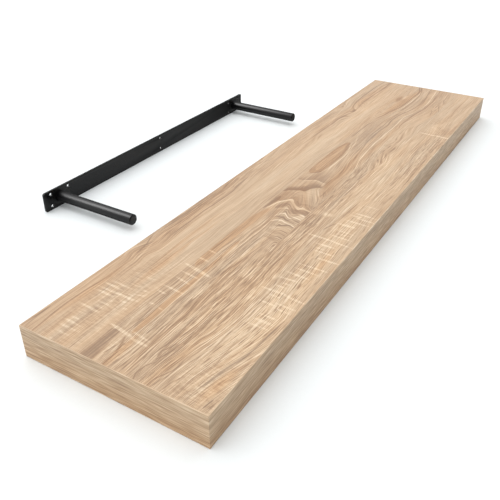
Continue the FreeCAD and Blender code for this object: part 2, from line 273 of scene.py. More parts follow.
clear_selection()
bpy.ops.mesh.primitive_cube_add(size=1, location=(0, -plate_thickness / 2, 0),
                                scale=(plate_length, plate_thickness, plate_height))
plate = bpy.context.object
plate.name = "coated_wall_plate"
bpy.ops.object.transform_apply(location=True, rotation=True, scale=True)
pick(plate, "EDGE", lambda a, b: (a.xz - b.xz).length < same_place)
bpy.ops.mesh.bevel(offset=plate_corner, segments=8, affect="EDGES")
bpy.ops.object.mode_set(mode="OBJECT")
for x in (-rod_x, rod_x):
    drill(plate, x, 0, spigot_hole, spigot_hole, drill_length, drill_behind)
    drill(plate, x, 0, spigot_hole + 2 * (weld_depth + drill_extra), spigot_hole,
          weld_depth + drill_extra, drill_extra)
screw_places = (-rod_x - screw_across, -rod_x + screw_across, 0,
                rod_x - screw_across, rod_x + screw_across)
for x in screw_places:
    for z in (-screw_up, screw_up):
        drill(plate, x, z, screw_hole, screw_hole, drill_length, drill_behind)
soften(plate, coat_radius, 2)

# Satin polyester powder coat: near-black, with the orange peel of a film that has flowed out
# in the oven, in waves of 1.4 mm. Its sheen is soft from above and gives way to matt at a low
# angle. Its flecks are drawn 0.4 mm wide, because real ones are too fine to show.
powder_coat, tree = new_material("satin_black_powder_coat")
place = add(tree, "TexCoord", out=3)
peel = add(tree, "TexNoise", place, Scale=700.0, Detail=2.0)
speck = add(tree, "TexNoise", place, Scale=2600.0, Detail=1.0)
flecks = add(tree, "MapRange", speck, 0.35, 0.65)
coat_colour = add(tree, "MixRGB", flecks, linear("#09090a"), linear("#0f0f11"))
facing = add(tree, "LayerWeight", 0.5, out=1)
gloss = add(tree, "Math", add(tree, "MapRange", peel, 0.3, 0.7, 0.26, 0.33),
            add(tree, "MapRange", facing, 0.3, 0.7, 0.0, 0.7), operation="ADD")
relief = add(tree, "Bump", 0.25, 0.00004, Height=peel)
close(tree, Base_Color=coat_colour, Roughness=gloss, IOR=1.5, Specular_IOR_Level=0.28,
      Normal=relief)
dress(plate, powder_coat)
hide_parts("wall_plate")
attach(plate, "wall_bracket")

# ================================================================ bracket: rods
# Two 16 mm round bars with a chamfered tip. A turned spigot goes through the plate and is
# welded behind it; the bars are coated with the plate.
rod_radius, rod_chamfer, spigot_radius, rod_coat_radius = 0.008, 0.0012, 0.005, 0.0003
rod_tip = box_of("rod_left")[0].y
rod_length = -plate_thickness - rod_tip
near_tip = rod_tip + 0.001
clear_selection()
bpy.ops.mesh.primitive_cylinder_add(vertices=96, radius=rod_radius, depth=rod_length,
                                    location=(-rod_x, -plate_thickness - rod_length / 2, 0),
                                    rotation=(math.pi / 2, 0, 0))
rod = bpy.context.object
rod.name = "coated_rod_left"
bpy.ops.object.transform_apply(location=True, rotation=True, scale=True)
pick(rod, "EDGE", lambda a, b: a.y < near_tip and b.y < near_tip)
bpy.ops.mesh.bevel(offset=rod_chamfer, segments=1, affect="EDGES")
bpy.ops.object.mode_set(mode="OBJECT")
pick(rod, "FACE", lambda centre, normal: normal.y > 0.9)
bpy.ops.mesh.inset(thickness=rod_radius - spigot_radius)
bpy.ops.mesh.extrude_region_move(TRANSFORM_OT_translate={"value": (0, plate_thickness, 0)})
bpy.ops.object.mode_set(mode="OBJECT")
soften(rod, rod_coat_radius, 3)
other_rod = rod.copy()
other_rod.data = rod.data.copy()
other_rod.name = "coated_rod_right"
scene.collection.objects.link(other_rod)
other_rod.data.transform(Matrix.Translation((2 * rod_x, 0, 0)))
for piece, node in ((rod, "rod_left"), (other_rod, "rod_right")):
    dress(piece, powder_coat)
    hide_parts(node)
    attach(piece, "wall_bracket")

# ================================================================ bracket: welds
# The weld fills the countersink round each spigot, is ground flush with the plate's back and
# coated with it, so it shows only as a faint ring.

# Powder coat over a ground weld: duller than on the flat, with faint marks of the grinding.
# They are drawn 0.3 mm apart, because real ones are too fine to show.
weld_coat, tree = new_material("satin_black_powder_coat_on_ground_weld")
place = add(tree, "TexCoord", out=3)
stretched = add(tree, "Mapping", place, None, None, (3000, 200, 300))
grinding = add(tree, "TexNoise", stretched, Scale=1.0, Detail=2.0)
weld_colour = add(tree, "MixRGB", grinding, linear("#0b0b0c"), linear("#151516"))
close(tree, Base_Color=weld_colour, Roughness=0.5, IOR=1.5,
      Normal=add(tree, "Bump", 0.4, 0.0001, Height=grinding))
for node in ("weld_ring_left", "weld_ring_right"):
    dress(nodes[node], weld_coat)

# ================================================================ board: chipboard frame
# Rails and bearers sawn from 36 mm chipboard and glued up as a frame. The back rail is milled
# out for the plate and bored for the rods, and shows raw behind.

# Sawn chipboard: rough and matt, of pressed wood chips about 4 mm wide and 1.6 mm thick, pale
# and brown at random, with dark gaps between.
chipboard, tree = new_material("sawn_chipboard")
place = add(tree, "TexCoord", out=3)
chip_place = add(tree, "Mapping", place, None, None, (260, 260, 620))
stir = add(tree, "TexNoise", chip_place, Scale=0.8, Detail=2.0, out=1)
stir = add(tree, "VectorMath", stir, (0.5, 0.5, 0.5), operation="SUBTRACT")
stirred = add(tree, "VectorMath", chip_place, stir, operation="ADD")
chips = add(tree, "TexVoronoi", stirred, Scale=1.0, out=1)
chip_tone = add(tree, "SeparateColor", chips)
chip_colour = add(tree, "ValToRGB", chip_tone,
                  stops=((0, "#9a7b58"), (0.3, "#b59672"), (0.65, "#c3a682"), (0.93, "#d3bb9a"),
                         (1, "#775a3e")))
gaps = add(tree, "TexVoronoi", stirred, Scale=1.0, feature="DISTANCE_TO_EDGE")
gap_mask = add(tree, "MapRange", gaps, 0.0, 0.09, 0.55, 0.0)
chip_shade = add(tree, "MixRGB", gap_mask, chip_colour, linear("#6b5138"))
close(tree, Base_Color=chip_shade, Roughness=0.85, Specular_IOR_Level=0.25,
      Normal=add(tree, "Bump", 0.6, 0.0003, Height=gaps))
for node in ("back_rail", "bearer_left", "bearer_right", "front_rail", "end_rail_left",
             "end_rail_right"):
    dress(nodes[node], chipboard)

# ================================================================ board: paper honeycomb
# Expanded kraft paper core in the frame's three bays. It stands on edge between the skins, is
# glued to both and is hidden by them.

# Kraft paper: matt brown, clouded every millimetre by its pulp.
kraft, tree = new_material("brown_kraft_paper")
place = add(tree, "TexCoord", out=3)
pulp = add(tree, "TexNoise", place, Scale=900.0, Detail=4.0)
kraft_brown = add(tree, "MixRGB", pulp, linear("#a8845a"), linear("#bf9c70"))
close(tree, Base_Color=kraft_brown, Roughness=0.9)
for node in ("honeycomb_left", "honeycomb_centre", "honeycomb_right"):
    dress(nodes[node], kraft)


# ================================================================ board: skins
# Two 3 mm fibreboard skins faced with printed sonoma-oak decor under a matt melamine film.
# The print runs along the board as three staves with a curly figure in the middle one.
def ribbon(tree, along, across, path, width=0, edge=None):
    """A mask that is 1 inside a ribbon and fades to 0 over its edges, all in millimetres.

    The path's points are (place along, place across) and share one half width that tapers at
    both ends, or have their own half width as a third value.
    """
    start, end = path[0][0], path[-1][0]
    taper = (end - start) * 0.2
    if len(path[0]) == 3:
        reaches = [(point[0], point[2]) for point in path]
        reaches = [(start - 0.6, -9), *reaches, (end + 0.6, -9)]    # nothing beyond the ends
    else:
        reaches = [(start, 0), (start + taper, width), (end - taper, width), (end, 0)]
    centre = add(tree, "FloatCurve", 1.0, along, points=[point[:2] for point in path])
    reach = add(tree, "FloatCurve", 1.0, along, points=reaches)
    off = add(tree, "Math", across, centre, operation="SUBTRACT")
    off = add(tree, "Math", off, operation="ABSOLUTE")
    inside = add(tree, "Math", reach, off, operation="SUBTRACT")
    return add(tree, "Math", inside, 1 / (edge or width), operation="MULTIPLY", use_clamp=True)


def ledge(tree, along, across, path):
    """A mask that sets in sharply at a line and fades out beyond it.

    The path's points are the place along, the line's place across and the width of the fade.
    """
    line = add(tree, "FloatCurve", 1.0, along, points=[point[:2] for point in path])
    fade = add(tree, "FloatCurve", 1.0, along, points=[(point[0], point[2]) for point in path])
    beyond = add(tree, "Math", across, line, operation="SUBTRACT")
    faded = add(tree, "Math", beyond, fade, operation="DIVIDE")
    left = add(tree, "Math", 1.0, faded, operation="SUBTRACT", use_clamp=True)
    begun = add(tree, "MapRange", beyond, -0.5, 0.7, 0.0, 1.0)
    return add(tree, "Math", left, begun, operation="MULTIPLY")


def patch(tree, flat, centre, size, turn=0.0):
    """A mask that is 1 in the middle of an ellipse and fades to 0 at its rim."""
    local = add(tree, "Mapping", flat, (*centre, 0), (0, 0, math.radians(turn)), (*size, 1),
                vector_type="TEXTURE")
    return add(tree, "TexGradient", local, out=1, gradient_type="SPHERICAL")


def oak_noise(tree, flow, size, start=(0, 0, 0), detail=1.0):
    """Noise stretched along the grain. Its size is a length and a width in millimetres.

    The start moves it to another place in the noise, so that no two fall alike.
    """
    stretched = add(tree, "Mapping", flow, start, None, (1 / size[0], 1 / size[1], 1))
    return add(tree, "TexNoise", stretched, Scale=1.0, Detail=detail)


def swing(tree, total, noise, strength):
    """Add a noise to a running total, so that it swings evenly to both sides."""
    lowered = add(tree, "Math", total, strength / 2, operation="SUBTRACT")
    return add(tree, "Math", noise, strength, lowered, operation="MULTIPLY_ADD")


def print_over(tree, print_so_far, inside, lighter, warmer):
    """Lighten and warm the print's tone and warmth inside a mask; below 0 darkens and cools."""
    tone, warmth = print_so_far
    tone = add(tree, "Math", inside, lighter, tone, operation="MULTIPLY_ADD")
    if warmer:
        warmth = add(tree, "Math", inside, warmer, warmth, operation="MULTIPLY_ADD")
    return tone, warmth


def oak_colour(tree, tone, warmth):
    """Printed oak from dark pore to cream, greyish or orange."""
    cool = add(tree, "ValToRGB", tone,
               stops=((0, "#8f765d"), (0.2, "#a1856b"), (0.35, "#af9578"), (0.5, "#b9a083"),
                      (0.65, "#c3aa8d"), (0.8, "#cdb79a"), (1, "#decab0")))
    warm = add(tree, "ValToRGB", tone,
               stops=((0, "#8d6948"), (0.2, "#a27d58"), (0.35, "#b38d67"), (0.5, "#be9973"),
                      (0.65, "#c8a57f"), (0.8, "#d2b38e"), (1, "#e2c8a4")))
    return add(tree, "MixRGB", warmth, cool, warm)


# Melamine-faced print of sonoma oak: beige with cream and brown grain that is colour more than
# relief, under a film of even, dull gloss. Everything in it is placed in millimetres: along
# from the left end, across from the back edge.
decor, tree = new_material("sonoma_oak_melamine_decor")
place = add(tree, "TexCoord", out=3)
in_mm = 1000
left_end, back_edge = -in_mm * cad_low.x, in_mm * board_back
flat = add(tree, "Mapping", place, (left_end, back_edge, 0), None, (in_mm, -in_mm, 0))
split = add(tree, "SeparateXYZ", flat).node
along, across = split.outputs[0], split.outputs[1]

# Staves: a seam runs the full length at 83 mm from the back edge, and one at 148 mm bounds the
# figure in front. The back stave is cut from another layer of the wood.
back_seam, back_blur, back_lean, other_layer = 83.0, 0.3, -0.006, 7.3
front_seam, front_blur = 148.0, 0.4
to_seam = add(tree, "Math", along, back_lean, across, operation="MULTIPLY_ADD")
seam_start, seam_end = back_seam - back_blur, back_seam + back_blur
in_back_stave = add(tree, "MapRange", to_seam, seam_start, seam_end, 1.0, 0.0)
past_back_seam = add(tree, "MapRange", to_seam, seam_start, seam_end, 0.0, 1.0)
behind_front_seam = add(tree, "MapRange", across, front_seam - front_blur, front_seam + front_blur,
                        1.0, 0.0)
in_middle = add(tree, "Math", past_back_seam, behind_front_seam, operation="MULTIPLY")
layer = add(tree, "Math", in_back_stave, other_layer, operation="MULTIPLY")

# The grain wanders by a few millimetres, and bends round the figure: each bend is a curve along
# the board that fades out across it.
wavering = swing(tree, across, oak_noise(tree, flat, (70, 22), (4, 2, 0)), 5.0)
bent = swing(tree, wavering, oak_noise(tree, flat, (230, 60)), 16.0)
BENDS = (
    # along the board: (place, shift); across it: (place, share)
    (((0, 0), (150, 0), (170, -3), (200, 4), (240, 1), (340, 4), (450, -5), (560, -10), (700, -12)),
     ((0, 1), (25, 1), (45, 0))),
    (((640, 0), (740, 3), (785, 9), (830, 2), (860, -2), (900, -2), (1000, -1)),
     ((5, 0), (15, 1), (40, 1), (65, 0))),
    (((740, 0), (770, 1), (800, 8), (850, 17), (880, 20), (920, 21), (960, 18), (1000, 12)),
     ((83, 0), (86, 1), (110, 1), (130, 0.75), (150, 0.6), (175, 0.3), (200, 0))),
    (((450, 0), (500, 0), (620, -12), (1000, -12)), ((100, 0), (112, 1), (150, 1), (178, 0))),
    (((0, -14), (30, -9), (60, -3), (110, 3), (200, 0)),
     ((148, 0), (155, 0.7), (190, 1), (235, 1))),
    (((0, -14), (40, -13), (100, -5), (150, 0)), ((185, 0), (215, 1), (235, 1))),
)
for bend, share in BENDS:
    shift = add(tree, "Math", add(tree, "FloatCurve", 1.0, along, points=bend),
                add(tree, "FloatCurve", 1.0, across, points=share), operation="MULTIPLY")
    bent = add(tree, "Math", bent, shift, operation="SUBTRACT")

# The curl: the middle stave's grain comes along the board, turns down and zigzags as it falls.
# Beyond the curl the grain rises back to its line.
slope, turn_along, turn_across, turn_softness = -0.4, 362, 113, 5.0
curl_end, curl_blur = 382.0, 3.0
zigzag = add(tree, "FloatCurve", 1.0, across,
             points=((100, 10), (110, 14), (117, 9), (124, 1), (131, -4), (136, 1), (149, -2)))
straightened = add(tree, "Math", along, zigzag, operation="SUBTRACT")
fall = add(tree, "Math", straightened, slope, turn_across - slope * turn_along,
           operation="MULTIPLY_ADD")
curled = add(tree, "Math", bent, fall, turn_softness, operation="SMOOTH_MIN")
before_end = add(tree, "MapRange", straightened, curl_end - curl_blur, curl_end + curl_blur,
                 1.0, 0.0)
in_curl = add(tree, "Math", before_end, in_middle, operation="MULTIPLY")
rise = add(tree, "Math",
           add(tree, "FloatCurve", 1.0, along, points=((385, 28), (412, 14), (440, 0))),
           add(tree, "FloatCurve", 1.0, across, points=((103, 0), (114, 1), (140, 1), (148, 0.5))),
           operation="MULTIPLY")
rise = add(tree, "Math", rise, in_middle, operation="MULTIPLY")
risen = add(tree, "Math", bent, rise, operation="SUBTRACT")
lines = add(tree, "Mix", in_curl, None, risen, curled)
flow = add(tree, "CombineXYZ", along, lines, layer)

# Where the grain is busy, where its pores show as dark dashes, and where saw and scraper left
# a fine ripple across it. Each has a strength everywhere and spots that add to it or take from
# it: centre, half size, strength.
ZONES = {
    "busy": (0.62, (
        ((130, 118), (330, 40), 1.0), ((230, 162), (520, 34), 1.0), ((60, 200), (260, 70), 0.6),
        ((540, 205), (330, 44), 0.5), ((480, 50), (330, 42), -0.3), ((300, 8), (220, 22), 0.6),
        ((345, 125), (50, 30), 0.4), ((297, 138), (28, 18), -0.9), ((900, 130), (200, 50), 0.4),
        ((620, 125), (150, 26), 0.5), ((417, 113), (32, 14), -0.7), ((112, 107.3), (85, 8), -0.9),
    )),
    "pores": (0.1, (
        ((300, 158), (480, 22), 1.1), ((60, 153), (110, 14), 0.7), ((150, 122), (260, 40), 0.9),
        ((90, 205), (220, 44), 0.9), ((300, 205), (260, 40), 0.5), ((320, 10), (220, 22), 0.5),
        ((640, 220), (170, 26), 0.6), ((880, 172), (60, 12), 0.7), ((112, 107.3), (85, 8), -0.8),
    )),
    "ripple": (0.12, (
        ((80, 54), (140, 46), 1.0), ((22, 212), (60, 36), 1.2), ((20, 105), (60, 22), 0.5),
        ((790, 205), (70, 34), 0.8), ((835, 125), (50, 30), 0.6), ((420, 115), (40, 26), 0.4),
    )),
}
zones = {}
for name, (everywhere, spots) in ZONES.items():
    zone = everywhere
    for centre, size, strength in spots:
        spot = patch(tree, flat, centre, size)
        zone = add(tree, "Math", spot, strength, zone, operation="MULTIPLY_ADD")
    zones[name] = zone

# The grain itself: rings 3.3 mm apart that drift and come and go, streaks, fibres, slow bands
# of lighter and darker wood, and pores as dark dashes. Sizes are length and width. Real fibres
# and pores, 0.2 mm wide, are too fine to show, so they are drawn 0.8 and 0.9 mm wide.
ring_pitch, ring_drift, ring_strength, middle_tone = 3.3, 26.0, 0.16, 0.48
drift = add(tree, "Math", oak_noise(tree, flow, (150, 9), (7, 3, 1)), ring_drift,
            operation="MULTIPLY")
phase = add(tree, "Math", lines, 2 * math.pi / ring_pitch, drift, operation="MULTIPLY_ADD")
rings = add(tree, "Math", phase, operation="SINE")
ring_places = add(tree, "MapRange", oak_noise(tree, flow, (70, 7), (4, 6, 2)), 0.38, 0.62, 0.0,
                  ring_strength)
fine = add(tree, "Math", rings, ring_places, operation="MULTIPLY")
streaks = oak_noise(tree, flow, (150, 2.6), (2, 8, 3))
fibres = oak_noise(tree, flow, (55, 0.8), (3, 9, 5))
for noise, strength in ((streaks, 0.20), (fibres, 1.60)):
    fine = swing(tree, fine, noise, strength)
tone = add(tree, "Math", fine, zones["busy"], middle_tone, operation="MULTIPLY_ADD")
tone = swing(tree, tone, oak_noise(tree, flow, (300, 11), detail=2.0), 0.50)
pores = add(tree, "MapRange", oak_noise(tree, flow, (22, 0.9), (9, 1, 2)), 0.54, 0.68, 0.0, -1.05)
tone = add(tree, "Math", pores, zones["pores"], tone, operation="MULTIPLY_ADD")

# Ripples 2.6 mm apart and 10 mm long that cross the grain at a slight slant.
slant = add(tree, "Mapping", flat, None, (0, 0, math.radians(12)), (1 / 2.6, 1 / 10, 1))
ripples = add(tree, "TexNoise", slant, Scale=1.0, Detail=1.0, Distortion=0.6)
ripples = add(tree, "MapRange", ripples, 0.3, 0.7, -0.16, 0.16)
tone = add(tree, "Math", ripples, zones["ripple"], tone, operation="MULTIPLY_ADD")
warmth = add(tree, "MapRange", oak_noise(tree, flow, (240, 14), (1, 5, 8)), 0.3, 0.7, 0.15, 0.65)
oak = print_over(tree, (tone, warmth), in_middle, -0.03, 0)

# Grain lines along the board, brown, cream or orange. Lighter, warmer, half width, and points:
# the place along the board and the place across it.
LINES = (
    # back stave, near end
    (-0.30, 0.2, 1.7, ((-40, 18), (0, 17.5), (20, 16), (49, 15), (79, 15), (119, 17.3), (156, 16),
        (180, 15.5))),
    (-0.25, 0.0, 1.6, ((-20, 9), (0, 6.5), (18, 4), (45, 1.5))),
    (-0.42, 0.0, 1.4, ((166, 14.5), (180, 13), (192, 11), (204, 7), (216, 4))),
    (0.20, 0.0, 1.8, ((150, 23), (180, 19), (205, 14), (240, 13))),
    (-0.40, 0.1, 1.6, ((186, 27), (205, 25.5), (235, 22.5), (290, 23), (340, 24), (400, 19),
        (460, 14))),
    (-0.14, 0.3, 2.2, ((134, 50), (178, 46), (223, 44.5), (330, 44))),
    (-0.14, 0.5, 2.0, ((130, 52), (156, 53), (235, 55), (300, 54))),
    (-0.10, 0.0, 2.0, ((250, 66), (320, 62), (400, 64))),
    (0.12, 0.0, 2.5, ((140, 32), (210, 33), (300, 34), (400, 31))),
    # back stave, far end
    (-0.20, 0.2, 1.6, ((630, 27), (656, 26.5), (719, 28), (781, 31), (806, 27.5), (844, 22.5))),
    (-0.50, 0.2, 1.6, ((790, 30), (806, 27.5), (844, 22.5), (884, 19.6), (937, 21), (1000, 22.5),
        (1060, 23))),
    (-0.30, 0.2, 2.4, ((560, 36), (603, 29.7), (656, 31), (719, 31), (759, 36), (784, 40.6),
        (812, 39), (844, 35.5), (900, 35), (937, 37), (1000, 37.5), (1060, 38))),
    (-0.12, 0.1, 4.0, ((500, 46), (540, 43), (580, 36), (640, 33))),
    (0.16, 0.0, 2.0, ((690, 24), (740, 22), (790, 14), (850, 4), (880, 0))),
    (-0.12, 0.0, 1.5, ((780, 12), (820, 5), (850, -1))),
    (-0.10, 0.2, 2.0, ((660, 70), (720, 66), (760, 68))),
    # middle stave, near end
    (-0.30, 0.1, 1.0, ((90, 87.5), (126, 89.5), (143, 91), (172, 88.5))),
    (0.22, 0.0, 1.8, ((50, 95.5), (62, 93), (75, 91), (96, 91))),
    (-0.36, 0.0, 1.1, ((50, 101), (71, 99.7), (101, 96.8))),
    (-0.36, 0.0, 0.9, ((57, 102.6), (66, 102), (78, 101.3))),
    (-0.45, 0.0, 1.2, ((12, 101), (20, 103), (30, 105))),
    (-0.30, 0.1, 1.2, ((95, 97.3), (113, 99), (128, 97.8))),
    (-0.36, 0.3, 2.2, ((-20, 115), (0, 113.5), (18, 112), (37, 106.5), (48, 102))),
    (0.16, 0.0, 1.6, ((55, 111), (107, 111), (141, 111.5), (171, 110), (235, 108.5), (300, 107))),
    (-0.30, 0.0, 0.9, ((60, 117), (110, 116), (170, 117.5), (240, 115), (330, 114.5))),
    (-0.34, 0.0, 0.9, ((55, 120.3), (66, 120), (77, 120.3))),
    (-0.20, 0.0, 1.2, ((90, 122), (150, 121), (210, 122), (260, 120))),
    (-0.32, 0.0, 0.9, ((160, 125.5), (169, 125.2), (178, 125.5))),
    (-0.20, 0.1, 2.8, ((-20, 143), (0, 140), (30, 135), (62, 133), (113, 134), (158, 132),
        (186, 129), (201, 128.4), (235, 134.4), (290, 139))),
    (-0.25, 0.0, 1.0, ((30, 136), (62, 134.6), (113, 135.6), (165, 133))),
    (-0.28, 0.0, 1.0, ((188, 126), (215, 130), (250, 133), (288, 139))),
    (-0.28, 0.0, 1.0, ((156, 136), (170, 136.2), (188, 137))),
    (0.14, 0.0, 2.5, ((-20, 144), (40, 143), (90, 142), (140, 144), (200, 143))),
    (0.20, 0.0, 1.2, ((180, 99), (230, 99), (290, 101), (338, 103))),
    (0.22, 0.0, 1.2, ((190, 105), (240, 105.5), (300, 106.5), (338, 107.5), (350, 110))),
    (0.22, 0.0, 1.3, ((210, 112), (260, 112), (300, 112.5), (322, 113.5), (330, 116))),
    (-0.26, 0.0, 1.1, ((250, 104), (300, 104.3), (345, 106))),
    (-0.26, 0.0, 1.1, ((240, 109), (300, 109.4), (338, 112))),
    (0.15, 0.0, 1.2, ((215, 127), (250, 126), (295, 129))),
    (-0.16, 0.0, 1.0, ((220, 124), (260, 123), (300, 125))),
    # middle stave, beside the eye and on to the far end
    (0.30, 0.0, 0.9, ((419, 138), (430, 132.6), (443, 126))),
    (-0.32, 0.0, 1.6, ((420, 139), (430, 140), (442, 139))),
    (-0.24, 0.6, 4.0, ((440, 131), (470, 131), (500, 134), (540, 131), (600, 127))),
    (0.22, 0.0, 1.4, ((490, 110), (540, 110.5), (600, 109.5), (635, 104), (660, 97.5), (680, 92))),
    (-0.12, 0.0, 1.5, ((500, 115), (560, 115), (620, 112), (700, 108))),
    (-0.26, 0.1, 1.5, ((648, 89.5), (680, 88.5), (725, 88.5), (752, 94))),
    (-0.42, 0.0, 1.5, ((540, 131), (580, 128), (620, 124), (656, 120), (700, 119.5), (744, 122),
        (772, 120), (800, 120), (822, 125), (844, 131), (862, 134.4), (900, 135), (937, 134.4),
        (1000, 125), (1060, 114))),
    (-0.22, 0.0, 1.3, ((560, 124), (620, 120), (690, 115), (760, 116), (810, 117), (840, 125))),
    (-0.54, 0.3, 1.6, ((752, 87), (769, 90.5), (787, 94), (812, 98.5), (837, 104.7), (859, 108.7),
        (906, 110.4), (953, 111), (984, 106), (1000, 100), (1050, 84))),
    (-0.46, 0.3, 1.6, ((815, 112), (828, 114), (859, 117), (906, 118.7), (937, 118), (969, 114),
        (1000, 105), (1050, 90))),
    (0.32, 0.0, 1.2, ((830, 110.5), (859, 113.5), (906, 114.8), (945, 114.6), (980, 110))),
    (-0.14, 0.2, 1.4, ((850, 124), (880, 127), (940, 127), (1000, 117), (1040, 108))),
    (0.36, 0.0, 1.3, ((480, 149), (500, 147), (545, 143), (594, 135.5), (656, 133.2), (750, 133.9),
        (800, 133.2), (828, 139), (853, 144.4), (890, 147), (937, 145.3), (1000, 137.5),
        (1050, 131))),
    (0.22, 0.0, 1.0, ((530, 149), (600, 148.2), (660, 148.4), (725, 148.6))),
    (-0.32, 0.4, 1.5, ((700, 140), (719, 142), (737, 145), (756, 141.5), (800, 143), (828, 145),
        (862, 151), (900, 153), (1000, 146), (1040, 142))),
    # front stave, near end
    (-0.42, 0.0, 1.2, ((-10, 152), (0, 150), (10, 146.8), (20, 148.4), (32, 155))),
    (-0.45, 0.0, 1.1, ((38, 145.5), (49, 146.5), (60, 148.7), (80, 149))),
    (-0.50, 0.0, 1.4, ((35, 150), (45, 149.5), (51, 151.7), (64, 155.5))),
    (-0.42, 0.0, 1.1, ((31, 151), (42, 155), (56, 158))),
    (-0.42, 0.0, 1.1, ((62, 161), (70, 161.2), (80, 160.8))),
    (-0.30, 0.0, 1.1, ((90, 150), (110, 149.6), (131, 150))),
    (-0.45, 0.0, 1.0, ((125, 153.7), (131, 153.4), (139, 153.9))),
    (-0.42, 0.0, 1.1, ((132, 147), (156, 148.3), (200, 151.8))),
    (-0.42, 0.0, 1.0, ((203, 151), (214, 151.4), (226, 151.2))),
    (-0.38, 0.0, 1.0, ((80, 163.4), (122, 163.4), (130, 164.4), (180, 167.2))),
    (-0.42, 0.0, 1.1, ((195, 157.4), (220, 160.4), (262, 161))),
    (-0.38, 0.0, 1.1, ((168, 171.6), (198, 172.3), (212, 169.6), (262, 169))),
    (-0.42, 0.0, 1.0, ((102, 174.4), (115, 174.6), (129, 175.4))),
    (-0.42, 0.0, 1.2, ((-10, 166), (9, 167), (18, 170), (30, 174.5), (50, 175.8))),
    (-0.28, 0.0, 1.0, ((2, 170.5), (12, 172.5), (24, 176))),
    (-0.32, 0.0, 1.1, ((3, 181.6), (16, 183.5), (30, 189))),
    (-0.30, 0.0, 1.1, ((66, 189.8), (110, 192.4), (133, 195.6))),
    (0.16, 0.0, 1.6, ((78, 179), (104, 183.5), (149, 188), (215, 188.8))),
    (-0.24, 0.2, 1.2, ((100, 185.5), (149, 190.4), (230, 191))),
    (-0.30, 0.0, 1.2, ((48, 204.4), (67, 203), (83, 202.8), (101, 205.8), (118, 208))),
    (-0.36, -0.4, 3.0, ((14, 205), (27, 208.8), (60, 216.2), (83, 223), (110, 225.5), (150, 229))),
    (-0.30, 0.0, 1.0, ((60, 219), (90, 225), (130, 227), (160, 230))),
    (-0.50, -0.2, 1.5, ((4, 226), (11, 227), (19, 228.6))),
    (0.16, 0.0, 1.5, ((-20, 233.5), (60, 233), (160, 234))),
    # front stave, middle and far end
    (-0.40, 0.0, 1.0, ((300, 151.6), (340, 152), (372, 151.6))),
    (-0.34, 0.0, 1.0, ((285, 165), (330, 166.2), (372, 167))),
    (-0.40, 0.0, 1.3, ((338, 182.5), (352, 185), (366, 191))),
    (-0.34, 0.0, 0.9, ((498, 155), (526, 154.3), (556, 153.4))),
    (-0.34, 0.0, 0.9, ((498, 164), (516, 165.4), (538, 167))),
    (-0.34, 0.0, 0.9, ((545, 168), (554, 168), (566, 167.6))),
    (-0.34, 0.0, 0.9, ((590, 168), (604, 168.3), (620, 167.6))),
    (-0.26, 0.1, 1.5, ((636, 205), (660, 204.4), (690, 205), (736, 208.4))),
    (-0.32, 0.0, 1.1, ((490, 229), (540, 228), (609, 228), (660, 230.4))),
    (-0.20, 0.0, 1.0, ((500, 213), (570, 216), (640, 215))),
    (0.14, 0.0, 1.4, ((480, 222), (560, 223), (640, 221))),
    (-0.28, 0.0, 1.0, ((668, 216), (700, 218), (736, 222.4))),
    (-0.28, 0.0, 1.0, ((660, 221), (700, 223), (736, 227))),
    (-0.28, 0.0, 1.0, ((655, 226), (690, 228), (725, 232))),
    (-0.30, 0.0, 1.1, ((864, 181), (884, 175), (904, 169))),
    (-0.26, 0.0, 1.0, ((840, 171), (855, 169), (870, 166))),
    (-0.26, 0.0, 1.0, ((915, 176), (930, 172), (948, 169))),
    (-0.16, 0.2, 1.6, ((820, 212), (880, 206), (950, 207), (1040, 200))),
)
for lighter, warmer, width, path in LINES:
    inside = ribbon(tree, along, wavering, path, width)
    shown = 0.8 + 0.9 / width    # a thin line is printed stronger, so that it still shows
    oak = print_over(tree, oak, inside, lighter * shown, warmer)

